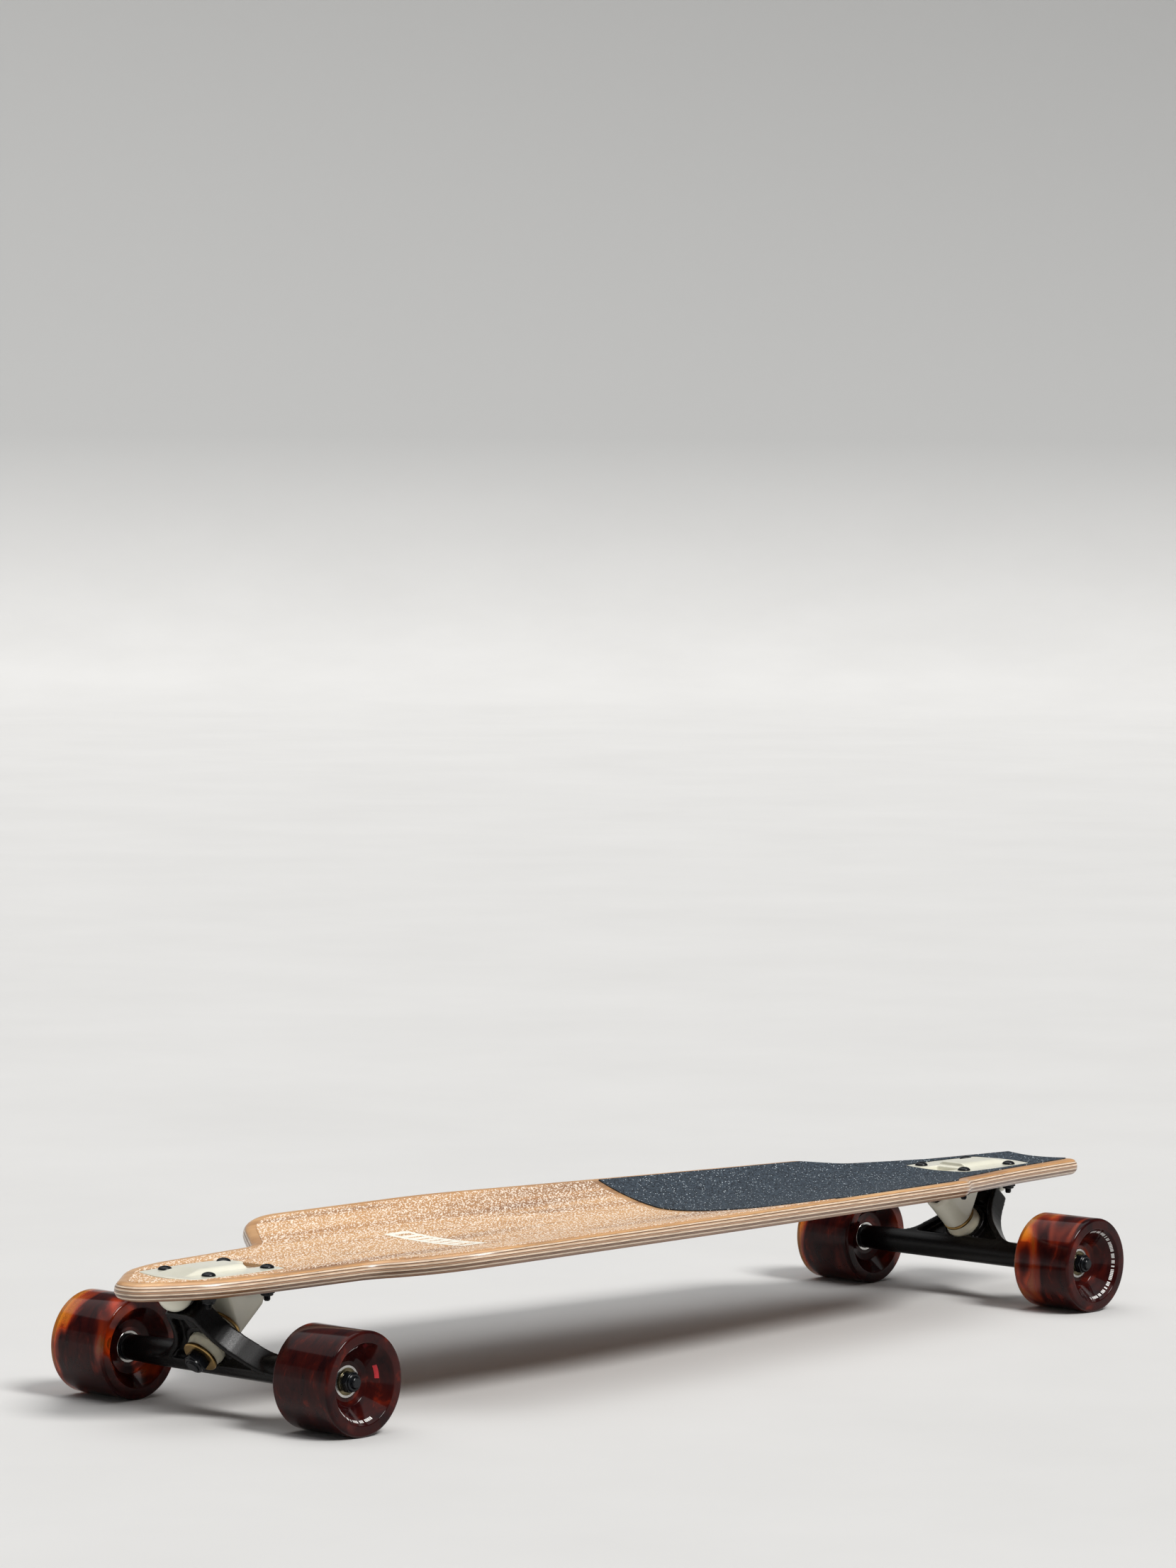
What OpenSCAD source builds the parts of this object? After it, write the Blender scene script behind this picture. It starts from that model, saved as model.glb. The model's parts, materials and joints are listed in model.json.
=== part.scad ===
/* [Deck] */
// Distance from the deck's nose tip to the front bolt pattern
nose_overhang = 84.3; // [70:0.1:110]
// Distance from the rear bolt pattern to the deck's tail corners
tail_overhang = 97.9; // [70:0.1:110]
// Largest width of the deck
deck_width = 235.4; // [220:1:250]
// Thickness of the laminated deck
deck_thickness = 12.2; // [10:0.1:14]
// Height of the deck's top surface over the ground, on the centre line
deck_top = 96.5; // [94:0.1:98]
// Radius of the concave across the deck
concave_radius = 555; // [450:5:900]
// Thickness of each face veneer
veneer = 1.2; // [0.8:0.1:1.6]
// Thickness of the dark grip tape on the tail half
tape_thickness = 0.9; // [0.6:0.1:1.2]
// Thickness of the clear grit sheet on the nose half
clear_thickness = 0.5; // [0.3:0.1:0.8]
// Bare margin between the grip sheets and the deck's edge
grip_margin = 9; // [6:1:14]

/* [Trucks] */
// Distance between the two truck bolt patterns
pattern_spacing = 788.8; // [760:0.1:810]
// Bolt pattern, along the board
bolts_long = 53.8; // [53.5:0.1:54]
// Bolt pattern, across the board
bolts_wide = 41.3; // [41:0.1:41.6]
// How far each axle lies inboard of its bolt pattern
axle_inset = 7.1; // [4:0.1:9]
// Tilt of the kingpin below the horizontal, in degrees
kingpin_tilt = 41; // [39:1:43]
// Width of the hanger between its wheel shoulders
hanger_width = 180; // [176:1:184]
// Largest radius of the hanger's axle tube
tube_radius = 9.3; // [8.8:0.1:9.8]
// Radius of the rubber bushings
bushing_radius = 13; // [12.5:0.1:13.2]
// Height of the baseplate flange's top over the ground
flange_top = 97.8; // [97:0.1:98.5]

/* [Wheels] */
// Radius of the wheels
wheel_radius = 35; // [32:0.5:37.5]
// Width of the wheels
wheel_width = 51; // [44:0.1:52]
// Distance of a wheel's outer face from the board's centre line
wheel_outer = 131.6; // [128:0.1:134]
// Radius of the rounded lips
lip_radius = 2.2; // [1.6:0.1:4]

/* [Hidden] */
$fn = 96;
ENDS = ["front", "rear"];
SIDES = ["right", "left"];
BOARD_PARTS = ["deck_core", "deck_top_veneer", "deck_bottom_veneer", "clear_grip", "grip_tape"];
TRUCK_PARTS = ["baseplate", "pivot_cup", "kingpin", "kingpin_nut", "boardside_cup_washer",
    "roadside_cup_washer", "boardside_bushing", "roadside_bushing", "mounting_bolts",
    "mounting_nuts", "hanger", "axle", "axle_nuts", "speed_washers", "bearing_inner_rings",
    "bearing_spacers"];
WHEEL_PARTS = ["wheel", "bearing_outer_rings", "bearing_shields", "bearing_balls"];

WOOD = "burlywood";
CREAM = "ivory";
IRON = "#1c1a19";
BRASS = "#b08a4a";
STEEL = "silver";

deck_length = nose_overhang + pattern_spacing + tail_overhang;
half_length = deck_length / 2;
half_width = deck_width / 2;
AXLE_X = [nose_overhang + axle_inset - half_length, half_length - tail_overhang - axle_inset];
concave_centre = deck_top + concave_radius;
gap = 0.05;              // running clearance of a shaft in its seat

// ---- Outlines ------------------------------------------------------------

// Points along an arc, from one angle to another
function arc(centre, radius, from, to, steps = 8) =
    [for (i = [0:steps]) let (a = from + (to - from) * i / steps) centre + radius * [cos(a), sin(a)]];

function unit(v) = v / norm(v);
function direction(v) = atan2(v[1], v[0]);
function short_way(angle) = angle > 180 ? angle - 360 : angle < -180 ? angle + 360 : angle;

// The points of an arc of radius corner[2] that rounds one corner of an outline
function rounded_corner(before, corner, after, steps) =
    let (here = [corner[0], corner[1]],
         back = unit([before[0], before[1]] - here),
         ahead = unit([after[0], after[1]] - here),
         half_angle = acos(back * ahead) / 2,
         reach = corner[2] / tan(half_angle),
         centre = here + unit(back + ahead) * corner[2] / sin(half_angle),
         from = direction(here + back * reach - centre),
         sweep = short_way(direction(here + ahead * reach - centre) - from))
    arc(centre, corner[2], from, from + sweep, steps);

// A closed outline whose corners [x, y, radius] are rounded
function rounded_outline(corners, steps = 8) =
    let (n = len(corners))
    [for (i = [0:n - 1]) each rounded_corner(corners[(i + n - 1) % n], corners[i],
                                             corners[(i + 1) % n], steps)];

function mirrored(corners) = [for (i = [len(corners) - 1:-1:0])
                                 [corners[i][0], -corners[i][1], corners[i][2]]];

// ---- Deck ----------------------------------------------------------------

// One edge of the deck from the nose tip to the middle of the tail, as [x, y, radius]
DECK_EDGE = [
    [-half_length, 10, 17],             // nose tip
    [-half_length + 38.5, 41, 60],      // nose
    [-417, 50, 140],
    [-312.5, 58, 22],                   // front wheel cut-away
    [-266, half_width, 66],
    [-85, half_width, 800],             // widest part
    [288, 0.725 * half_width, 22],
    [315, 64.5, 30],                    // rear wheel cut-away
    [393, 46.5, 200],
    [half_length + 1.7, 36, 9]          // tail corner
];
TAIL_HOLLOW = [[half_length - 6, 0, 60]];

module deck_outline() polygon(rounded_outline(concat(DECK_EDGE, TAIL_HOLLOW,
                                                     mirrored(DECK_EDGE))));

// A cylinder along the board that follows the concave at a distance under the deck's top
module concave_cylinder(depth, length) translate([0, 0, concave_centre]) rotate([0, 90, 0])
    cylinder(r = concave_radius + depth, h = length, center = true, $fn = 720);

// What lies between two distances under the deck's top surface
module concave_layer(from, to) difference() {
    intersection() {
        translate([0, 0, deck_top - 30]) linear_extrude(60) children();
        concave_cylinder(to, 2 * deck_length);
    }
    concave_cylinder(from, 3 * deck_length);
}

past_side = 130;         // beyond the deck's sides
past_tail = 600;         // beyond the deck's tail

// The edge of the dark tape across the deck, from one side to the other
TAPE_FRONT = [[93, past_side], [30, -24, 50], [77, -70, 60], [183, -100]];

module tape_area() polygon(concat([[past_tail, past_side], TAPE_FRONT[0]],
    rounded_corner(TAPE_FRONT[0], TAPE_FRONT[1], TAPE_FRONT[2], 10),
    rounded_corner(TAPE_FRONT[1], TAPE_FRONT[2], TAPE_FRONT[3], 10),
    [TAPE_FRONT[3], [TAPE_FRONT[3][0], -past_side], [past_tail, -past_side]]));

module grip_outline() offset(delta = -grip_margin) deck_outline();

module bolt_holes() for (end = [0, 1]) at_truck(end) for (p = bolt_places())
    translate([p[0], p[1], deck_top - 40]) cylinder(r = deck_hole_radius, h = 80, $fn = 32);

module slots() for (end = [0, 1]) at_truck(end)
    translate([0, 0, deck_top - 45]) linear_extrude(85) slot_outline();

// Recesses that take the flanges of the baseplates
module flange_recesses() for (end = [0, 1]) at_truck(end)
    translate([0, 0, flange_bottom]) linear_extrude(50) flange_outline(0.4);

module deck_layer(from, to) difference() {
    difference() {
        difference() {
            concave_layer(from, to) children();
            slots();
        }
        flange_recesses();
    }
    bolt_holes();
}

module deck_core() color(WOOD) deck_layer(veneer, deck_thickness - veneer) deck_outline();
module deck_top_veneer() color("tan") deck_layer(0, veneer) deck_outline();
module deck_bottom_veneer() color("tan")
    deck_layer(deck_thickness - veneer, deck_thickness) deck_outline();
module grip_tape() color("#30373d") deck_layer(-tape_thickness, 0)
    intersection() { grip_outline(); tape_area(); }
module clear_grip() color("peru") deck_layer(-clear_thickness, 0)
    difference() { grip_outline(); offset(delta = grip_margin) tape_area(); }

// ---- Truck frame ------------------------------------------------------
// In a truck's own frame +X points away from the middle of the board, the axle crosses
// at X = 0 and Z is the height over the ground.

flange_thickness = 3.5;
flange_bottom = flange_top - flange_thickness;
pattern_x = axle_inset;
slot_half = 16;                 // half width of the drop-through slot in the deck
slot_inner = pattern_x - 37.5;
slot_outer = pattern_x + 50.2;
block_inner = pattern_x - 34;
block_outer = 10;
block_width = 28;
ridge_inner = pattern_x - 15.5;
ridge_outer = pattern_x + 46;
ridge_top = flange_top + 3.2;
notch_half = 12;                // half width of the notch over the kingpin's head
notch_end = pattern_x - 18.5;
bolt_radius = 2.4;
bolt_head_radius = 4.8;
bolt_length = 22;
plate_hole_radius = 2.6;
deck_hole_radius = 2.7;
mounting_nut_height = 3.6;
mounting_collar_height = 1.6;

// The kingpin crosses the steering axis here
ring_x = 10.5;
ring_z = 50.2;
boss_x = 44.5;
boss_z = 85;
boss_radius = 12;

// Along the kingpin, from the steering axis: + is down and away from the board's middle
web_half = 2;
ring_half = 5.5;
washer_at = 14.3;
washer_thickness = 1.1;
washer_rim = 2.3;
washer_radius = 12.7;
block_at = washer_at + washer_thickness;
block_radius = 12.2;
head_at = 36;
head_height = 6;
nut_height = 6;
collar_height = 1.8;
kingpin_end = block_at + nut_height + collar_height + 1.2;
kingpin_radius = 4.75;

// Along the steering axis from the kingpin
nose_at = 37;
cup_mouth = 38.4;
cup_end = 51.5;
cup_radius = 8;
pivot_radius = 5.6;
pivot_end = 49.6;

seat_radius = bushing_radius + 0.6;
ring_radius = 17.4;
tube_end = hanger_width / 2;
tube_end_radius = 8.7;

// The axle in the steering frame: along the kingpin and along the steering axis
axle_t = -ring_x * cos(kingpin_tilt) + (ring_z - wheel_radius) * sin(kingpin_tilt);
axle_q = -ring_x * sin(kingpin_tilt) - (ring_z - wheel_radius) * cos(kingpin_tilt);

module at_truck(end) translate([AXLE_X[end], 0, 0])
    rotate([0, 0, end == 0 ? 180 : 0]) children();

// Z runs up the steering axis and X down the kingpin
module steering_frame() translate([ring_x, 0, ring_z]) rotate([0, kingpin_tilt, 0]) children();

// Z runs down the kingpin
module along_kingpin(from) steering_frame() rotate([0, 90, 0]) translate([0, 0, from]) children();

function bolt_places() = [for (a = [-1, 1], b = [-1, 1])
    [pattern_x + a * bolts_long / 2, b * bolts_wide / 2]];

SLOT_EDGE = [[slot_outer, slot_half, 13], [slot_inner, slot_half, 6]];

module slot_outline() polygon(rounded_outline(concat(SLOT_EDGE, mirrored(SLOT_EDGE)), 4));

function flange_edge(grow) = [
    [pattern_x + 45 + grow, 28 + grow, 4 + grow], [pattern_x, 31.5 + grow, 200],
    [pattern_x - 36 - grow, 29.5 + grow, 4 + grow]
];

// Outline of the baseplate's flange, grown by a margin
module flange_outline(grow) polygon(rounded_outline(concat([[pattern_x + 52 + grow, 0, 45]],
    flange_edge(grow), [[pattern_x - 38.5 - grow, 0, 60]], mirrored(flange_edge(grow))), 4));

// ---- Baseplate and what is bolted to it --------------------------------

// The block under the flange that the kingpin goes through
module kingpin_block() intersection() {
    hull() {
        for (at = [block_at + 1, head_at + head_height + 1]) along_kingpin(-at)
            cylinder(r = block_radius, h = 1, $fn = 32);
        translate([block_inner, 0, flange_bottom]) cube([2, block_width - 2, 2], center = true);
        translate([block_outer, 0, flange_bottom - 2.5]) cube([1, block_width, 7], center = true);
    }
    translate([-100, -50, 0]) cube([200, 100, flange_bottom + 0.5]);
}

// Half widths of the ridge along the flange, at its foot and at its rounded shoulders
ridge_foot = 15.5;
ridge_shoulder = 10.5;
RIDGE_SECTION = [[ridge_foot, flange_top - 2], [ridge_shoulder, ridge_top, 7],
                 [-ridge_shoulder, ridge_top, 7], [-ridge_foot, flange_top - 2]];

// A ridge with rounded shoulders that fades out towards the flange's outer end
module ridge() intersection() {
    translate([ridge_inner, 0, 0]) rotate([90, 0, 90]) linear_extrude(ridge_outer - ridge_inner)
        polygon(concat([RIDGE_SECTION[0]],
            rounded_corner(RIDGE_SECTION[0], RIDGE_SECTION[1], RIDGE_SECTION[2], 4),
            rounded_corner(RIDGE_SECTION[1], RIDGE_SECTION[2], RIDGE_SECTION[3], 4),
            [RIDGE_SECTION[3]]));
    rotate([90, 0, 0]) linear_extrude(50, center = true) polygon([
        [ridge_inner - 1, flange_bottom], [ridge_inner - 1, ridge_top + 1],
        [pattern_x + 18, ridge_top + 1], [ridge_outer, flange_top - 0.6],
        [ridge_outer + 1, flange_bottom]]);
}

// A boss with a round end that holds the pivot cup under the flange
module pivot_boss() translate([boss_x, 0, boss_z]) rotate_extrude($fn = 64) polygon(concat(
    [[0, flange_bottom - boss_z + 1], [0, -boss_radius]],
    arc([0, 0], boss_radius, -81, 0), [[boss_radius, flange_bottom - boss_z + 1]]));

module baseplate() color(CREAM) difference() {
    union() {
        translate([0, 0, flange_bottom]) linear_extrude(flange_thickness) flange_outline(0);
        ridge();
        kingpin_block();
        pivot_boss();
    }
    // notch in the flange's inner end
    translate([notch_end - 40, -notch_half, flange_bottom - 1]) cube([40, 2 * notch_half, 20]);
    for (p = bolt_places()) translate([p[0], p[1], flange_bottom - 1])
        cylinder(r = plate_hole_radius, h = 10, $fn = 32);
    // bore, head seat and head pocket of the kingpin
    along_kingpin(-60) cylinder(r = kingpin_radius, h = 60, $fn = 48);
    along_kingpin(-80) cylinder(r = 9.4, h = 80 - head_at, $fn = 48);
    // seat of the pivot cup, open towards the hanger
    steering_frame() translate([0, 0, cup_mouth]) cylinder(r = cup_radius, h = cup_end - cup_mouth);
    steering_frame() translate([0, 0, cup_mouth - 20]) cylinder(r = 15, h = 20);
}

// Section of the pivot's round tip, grown by a margin, as [radius, along the steering axis]
function pivot_tip(grow) = concat([[0, pivot_end + grow]],
    arc([0, pivot_end - pivot_radius], pivot_radius + grow, 81, 0));

module pivot_cup() color("#2a2622") steering_frame() rotate_extrude() polygon(concat(
    [[cup_radius, cup_mouth], [cup_radius, cup_end], [0, cup_end]], pivot_tip(gap),
    [[pivot_radius + gap, cup_mouth]]));

module kingpin() color(IRON) {
    along_kingpin(-head_at - head_height) cylinder(r = 8.2, h = head_height, $fn = 6);
    along_kingpin(-head_at) cylinder(r = kingpin_radius, h = head_at + kingpin_end - 1);
    along_kingpin(kingpin_end - 1) cylinder(r1 = kingpin_radius, r2 = kingpin_radius - 0.8, h = 1);
}

module kingpin_nut() color(IRON) difference() {
    union() {
        along_kingpin(block_at) cylinder(r = 8.25, h = nut_height, $fn = 6);
        along_kingpin(block_at + nut_height) cylinder(r = 6.7, h = collar_height);
    }
    along_kingpin(0) cylinder(r = kingpin_radius, h = 40);
}

// A dished washer whose rim wraps the end of a bushing; side is -1 for the board side
module cup_washer(side) color(BRASS) steering_frame() rotate([0, 90 * side, 0])
    rotate_extrude() polygon([
        [kingpin_radius + 0.2, washer_at], [washer_radius - 1, washer_at],
        [washer_radius - 0.8, block_at - washer_rim], [washer_radius - 0.2, block_at - washer_rim],
        [washer_radius, block_at - 0.8], [washer_radius - 0.7, block_at],
        [kingpin_radius + 0.2, block_at]]);

module boardside_cup_washer() cup_washer(-1);
module roadside_cup_washer() cup_washer(1);

// A urethane bushing between the hanger's web and a cup washer
module bushing(side, base, waist) color(CREAM) steering_frame() rotate([0, 90 * side, 0])
    rotate_extrude() polygon([
        [kingpin_radius + 0.3, web_half + 0.1], [base - 0.8, web_half + 0.1],
        [base, web_half + 0.9], [base, ring_half + 1], [waist, block_at - washer_rim - 0.4],
        [washer_radius - 1.6, washer_at], [kingpin_radius + 0.3, washer_at]]);

module boardside_bushing() bushing(-1, bushing_radius, washer_radius - 0.9);
module roadside_bushing() bushing(1, bushing_radius, washer_radius - 1.2);

module mounting_bolts() color(IRON) for (p = bolt_places()) translate([p[0], p[1], flange_top]) {
    difference() {
        intersection() {
            translate([0, 0, -2.95]) sphere(r = 5.6);
            cylinder(r = bolt_head_radius, h = 5);
        }
        for (turn = [0, 90]) rotate([0, 0, turn + 20]) translate([0, 0, 2.6])
            cube([4.4, 0.9, 2.6], center = true);
    }
    translate([0, 0, -bolt_length]) cylinder(r = bolt_radius, h = bolt_length);
}

module mounting_nuts() color(IRON) for (p = bolt_places())
    translate([p[0], p[1], deck_bottom_at(slot_half) - mounting_nut_height - mounting_collar_height])
        difference() {
            union() {
                translate([0, 0, mounting_collar_height])
                    cylinder(r = 5.4, h = mounting_nut_height, $fn = 6);
                cylinder(r = 4.3, h = mounting_collar_height);
            }
            translate([0, 0, -1]) cylinder(r = bolt_radius, h = 10);
        }

// Height of the deck's underside at a distance from the centre line
function deck_bottom_at(y) = concave_centre - sqrt(pow(concave_radius + deck_thickness, 2) - y * y);

// ---- Hanger and axle -----------------------------------------------------

arm_half = 8.6;           // half the hanger's width along the kingpin
rim = 3.8;                // thickness of the arch's rim

// Right half of the hanger seen along the kingpin, as [y, q, radius]
HANGER_EDGE = [[12.5, nose_at, 4], [19.5, 10, 45], [45, -12, 26], [66, -13.5, 1], [66, -22, 1]];

// Extrudes a shape drawn as [y, q] along the kingpin
module across_hanger(from, to) steering_frame() translate([from, 0, 0])
    rotate([90, 0, 90]) linear_extrude(to - from) children();

module hanger_outline() polygon(rounded_outline(concat(HANGER_EDGE,
    [for (i = [len(HANGER_EDGE) - 1:-1:0]) [-HANGER_EDGE[i][0], HANGER_EDGE[i][1], HANGER_EDGE[i][2]]]),
    6));

module pocket_outline() intersection() {
    offset(delta = -rim) hanger_outline();
    translate([-60, -12]) square([120, 43]);
}

// The arch between the axle and the pivot, hollowed on both faces
module arch() difference() {
    across_hanger(axle_t - arm_half, axle_t + arm_half) hanger_outline();
    across_hanger(axle_t + 2.2, axle_t + arm_half + 1) pocket_outline();
    across_hanger(axle_t - arm_half - 1, axle_t - 3) pocket_outline();
}

module pivot() steering_frame() {
    translate([0, 0, 20]) cylinder(r = 8.2, h = nose_at - 20.8);
    rotate_extrude() polygon(concat([[0, nose_at - 2]], pivot_tip(0), [[pivot_radius, nose_at - 2]]));
}

module axle_tube() on_axle(0) rotate_extrude() polygon([
    [0, -tube_end], [tube_end_radius, -tube_end], [tube_radius, -64], [tube_radius, 64],
    [tube_end_radius, tube_end], [0, tube_end]]);

module hanger() color(IRON) difference() {
    union() {
        arch();
        along_kingpin(-ring_half) cylinder(r = ring_radius, h = 2 * ring_half);
        pivot();
        axle_tube();
    }
    along_kingpin(-20) cylinder(r = kingpin_radius + 1.6, h = 40);
    along_kingpin(web_half) cylinder(r = seat_radius, h = 10);
    along_kingpin(-web_half - 10) cylinder(r = seat_radius, h = 10);
    on_axle(-tube_end - 1) cylinder(r = axle_radius, h = 2 * tube_end + 2);
}

axle_radius = 3.97;
speed_washer = 1;
bearing_width = 7;
spacer_width = 10;
axle_nut_height = 6.4;
inner_bearing = tube_end + speed_washer;
outer_bearing = inner_bearing + bearing_width + spacer_width;
nut_seat = outer_bearing + bearing_width + speed_washer;
axle_end = nut_seat + axle_nut_height + 2.2;

// Z runs along the axle from the board's centre line; at is a distance along it
module on_axle(at) translate([0, 0, wheel_radius]) rotate([-90, 0, 0]) translate([0, 0, at]) children();

// Repeats its children at both ends of the axle
module both_ends() for (turn = [0, 180]) rotate([0, 0, turn]) children();

module tube(outer, inner, length) difference() {
    cylinder(r = outer, h = length);
    translate([0, 0, -1]) cylinder(r = inner, h = length + 2);
}

module axle() color(IRON) {
    on_axle(-axle_end + 1) cylinder(r = axle_radius, h = 2 * axle_end - 2);
    both_ends() on_axle(axle_end - 1) cylinder(r1 = axle_radius, r2 = axle_radius - 0.9, h = 1);
}

module axle_nuts() color(IRON) both_ends() on_axle(nut_seat) difference() {
    union() {
        cylinder(r = 7.3, h = axle_nut_height - 1.8, $fn = 6);
        cylinder(r = 5.9, h = axle_nut_height);
    }
    translate([0, 0, -1]) cylinder(r = axle_radius, h = 20);
}

module speed_washers() color(STEEL) both_ends() for (at = [tube_end, nut_seat - speed_washer])
    on_axle(at) tube(6, axle_radius, speed_washer);

module bearing_spacers() color(STEEL) both_ends() on_axle(inner_bearing + bearing_width)
    tube(5.5, axle_radius, spacer_width);

// ---- Bearings and wheels -------------------------------------------------

ball_radius = 1.98;
ball_orbit = 7.6;
BALLS = 7;
inner_ring_radius = 6.05;
outer_ring_inside = 9.15;
bearing_radius = 11;

module groove() rotate_extrude() translate([ball_orbit, 0]) circle(r = ball_radius + gap, $fn = 48);

module ring(outer, inner) difference() {
    tube(outer, inner, bearing_width);
    translate([0, 0, bearing_width / 2]) groove();
}

module bearing_inner_rings() color(STEEL) both_ends() for (at = [inner_bearing, outer_bearing])
    on_axle(at) ring(inner_ring_radius, axle_radius);

module bearing_outer_rings() color(STEEL) for (at = [inner_bearing, outer_bearing])
    on_axle(at) ring(bearing_radius, outer_ring_inside);

module bearing_shields() color("#26262a") for (at = [inner_bearing, outer_bearing], face = [0, 1])
    on_axle(at + 0.25 + face * (bearing_width - 0.9)) tube(outer_ring_inside, inner_ring_radius + 0.3, 0.4);

module bearing_balls() color(STEEL) for (at = [inner_bearing, outer_bearing], i = [0:BALLS - 1])
    on_axle(at + bearing_width / 2) rotate([0, 0, i * 360 / BALLS]) translate([ball_orbit, 0, 0])
        sphere(r = ball_radius, $fn = 32);

hub_radius = 13.4;
band_inner = 27.3;        // inner edge of the flat band round each face
wheel_inner = wheel_outer - wheel_width;
core_radius = 8.6;        // bore between the two bearing seats

// Lathed wheel: distances along the axle are counted from the board's centre line
module wheel() color("#4a1210") on_axle(0) rotate_extrude($fn = 144) polygon(concat(
    arc([wheel_radius - lip_radius, wheel_inner + lip_radius], lip_radius, 0, -90),
    arc([band_inner + 1, wheel_inner + 1], 1, -90, -150, 4),
    [[hub_radius + 5, inner_bearing - 1], [hub_radius, inner_bearing], [bearing_radius, inner_bearing],
     [bearing_radius, inner_bearing + bearing_width], [core_radius, inner_bearing + bearing_width],
     [core_radius, outer_bearing], [bearing_radius, outer_bearing],
     [bearing_radius, outer_bearing + bearing_width], [hub_radius, outer_bearing + bearing_width],
     [hub_radius + 3, outer_bearing + bearing_width + 2]],
    arc([band_inner + 1, wheel_outer - 1], 1, 150, 90, 4),
    arc([wheel_radius - lip_radius, wheel_outer - lip_radius], lip_radius, 90, 0)));

// ---- The board -----------------------------------------------------------

// Shows a node when it is the one asked for, or when all are
module named(name) children();

named("deck_core") deck_core();
named("deck_top_veneer") deck_top_veneer();
named("deck_bottom_veneer") deck_bottom_veneer();
named("clear_grip") clear_grip();
named("grip_tape") grip_tape();

for (end = [0, 1]) {
    truck = str(ENDS[end], "_");
    at_truck(end) {
        named(str(truck, "baseplate")) baseplate();
        named(str(truck, "pivot_cup")) pivot_cup();
        named(str(truck, "kingpin")) kingpin();
        named(str(truck, "kingpin_nut")) kingpin_nut();
        named(str(truck, "boardside_cup_washer")) boardside_cup_washer();
        named(str(truck, "roadside_cup_washer")) roadside_cup_washer();
        named(str(truck, "boardside_bushing")) boardside_bushing();
        named(str(truck, "roadside_bushing")) roadside_bushing();
        named(str(truck, "mounting_bolts")) mounting_bolts();
        named(str(truck, "mounting_nuts")) mounting_nuts();
        named(str(truck, "hanger")) hanger();
        named(str(truck, "axle")) axle();
        named(str(truck, "axle_nuts")) axle_nuts();
        named(str(truck, "speed_washers")) speed_washers();
        named(str(truck, "bearing_inner_rings")) bearing_inner_rings();
        named(str(truck, "bearing_spacers")) bearing_spacers();
    }
    for (side = [0, 1]) translate([AXLE_X[end], 0, 0]) mirror([0, side, 0]) {
        corner = str(truck, SIDES[side], "_");
        named(str(corner, "wheel")) wheel();
        named(str(corner, "bearing_outer_rings")) bearing_outer_rings();
        named(str(corner, "bearing_shields")) bearing_shields();
        named(str(corner, "bearing_balls")) bearing_balls();
    }
}
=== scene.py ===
"""Looks for a drop-through longboard skateboard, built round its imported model."""

import json
import math
from random import Random

import bmesh
import bpy
from mathutils import Matrix, Vector, geometry


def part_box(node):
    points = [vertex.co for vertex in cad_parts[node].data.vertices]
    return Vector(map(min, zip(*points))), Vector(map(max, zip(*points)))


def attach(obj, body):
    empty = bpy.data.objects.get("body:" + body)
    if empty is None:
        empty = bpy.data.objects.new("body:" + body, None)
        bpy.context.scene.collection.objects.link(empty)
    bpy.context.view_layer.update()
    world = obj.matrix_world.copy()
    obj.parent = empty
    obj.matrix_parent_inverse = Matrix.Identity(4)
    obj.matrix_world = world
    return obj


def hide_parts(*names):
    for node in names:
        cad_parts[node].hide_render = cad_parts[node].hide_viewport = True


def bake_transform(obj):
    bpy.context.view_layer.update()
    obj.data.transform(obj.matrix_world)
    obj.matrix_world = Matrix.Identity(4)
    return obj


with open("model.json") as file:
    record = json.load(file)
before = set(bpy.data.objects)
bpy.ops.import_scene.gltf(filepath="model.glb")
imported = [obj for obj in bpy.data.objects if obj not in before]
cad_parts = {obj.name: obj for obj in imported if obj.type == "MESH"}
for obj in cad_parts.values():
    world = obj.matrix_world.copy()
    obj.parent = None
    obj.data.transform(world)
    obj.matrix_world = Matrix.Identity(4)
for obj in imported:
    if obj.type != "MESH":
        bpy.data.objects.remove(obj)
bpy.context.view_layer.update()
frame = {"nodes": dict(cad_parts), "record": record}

MM = 0.001
ENDS = ("front", "rear")
SIDES = ("right", "left")
JOINTS = {joint["name"]: joint for joint in frame["record"]["behaviour"]["joints"]}

# ---- Sizes, in millimetres ----------------------------------------------


def corners_mm(name):
    """Lowest and highest corner of a CAD node."""
    low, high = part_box(name)
    return low / MM, high / MM


DECK_HIGH = corners_mm("deck_core")[1]
HALF_LENGTH = DECK_HIGH.x
HALF_WIDTH = DECK_HIGH.y
THICKNESS = 12.2
VENEER = 1.2
DECK_TOP = corners_mm("deck_top_veneer")[0].z + VENEER
CONCAVE_RADIUS = 555.0
CONCAVE_CENTRE = DECK_TOP + CONCAVE_RADIUS
EDGE_ROUND = 5.8  # radius of the deck's rounded edge
GRIP_MARGIN = 9.0
TAPE = 0.9
GRIT = 0.5

WHEEL_LOW, WHEEL_HIGH = corners_mm("front_right_wheel")
WHEEL_RADIUS = (WHEEL_HIGH.z - WHEEL_LOW.z) / 2
WHEEL_INNER = WHEEL_LOW.y
WHEEL_OUTER = WHEEL_HIGH.y
AXLE_HEIGHT = (WHEEL_HIGH.z + WHEEL_LOW.z) / 2
TUBE_END = corners_mm("front_hanger")[1].y
AXLE_END = corners_mm("front_axle")[1].y
FLANGE_TOP = 97.8
FLANGE = 3.5
PATTERN_X = 7.1  # the bolt pattern's centre, outwards from the axle
BOLTS_LONG = 53.8
BOLTS_WIDE = 41.3
KINGPIN_TILT = math.atan2(abs(JOINTS["rear_steer"]["axis"][0]), JOINTS["rear_steer"]["axis"][2])


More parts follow.
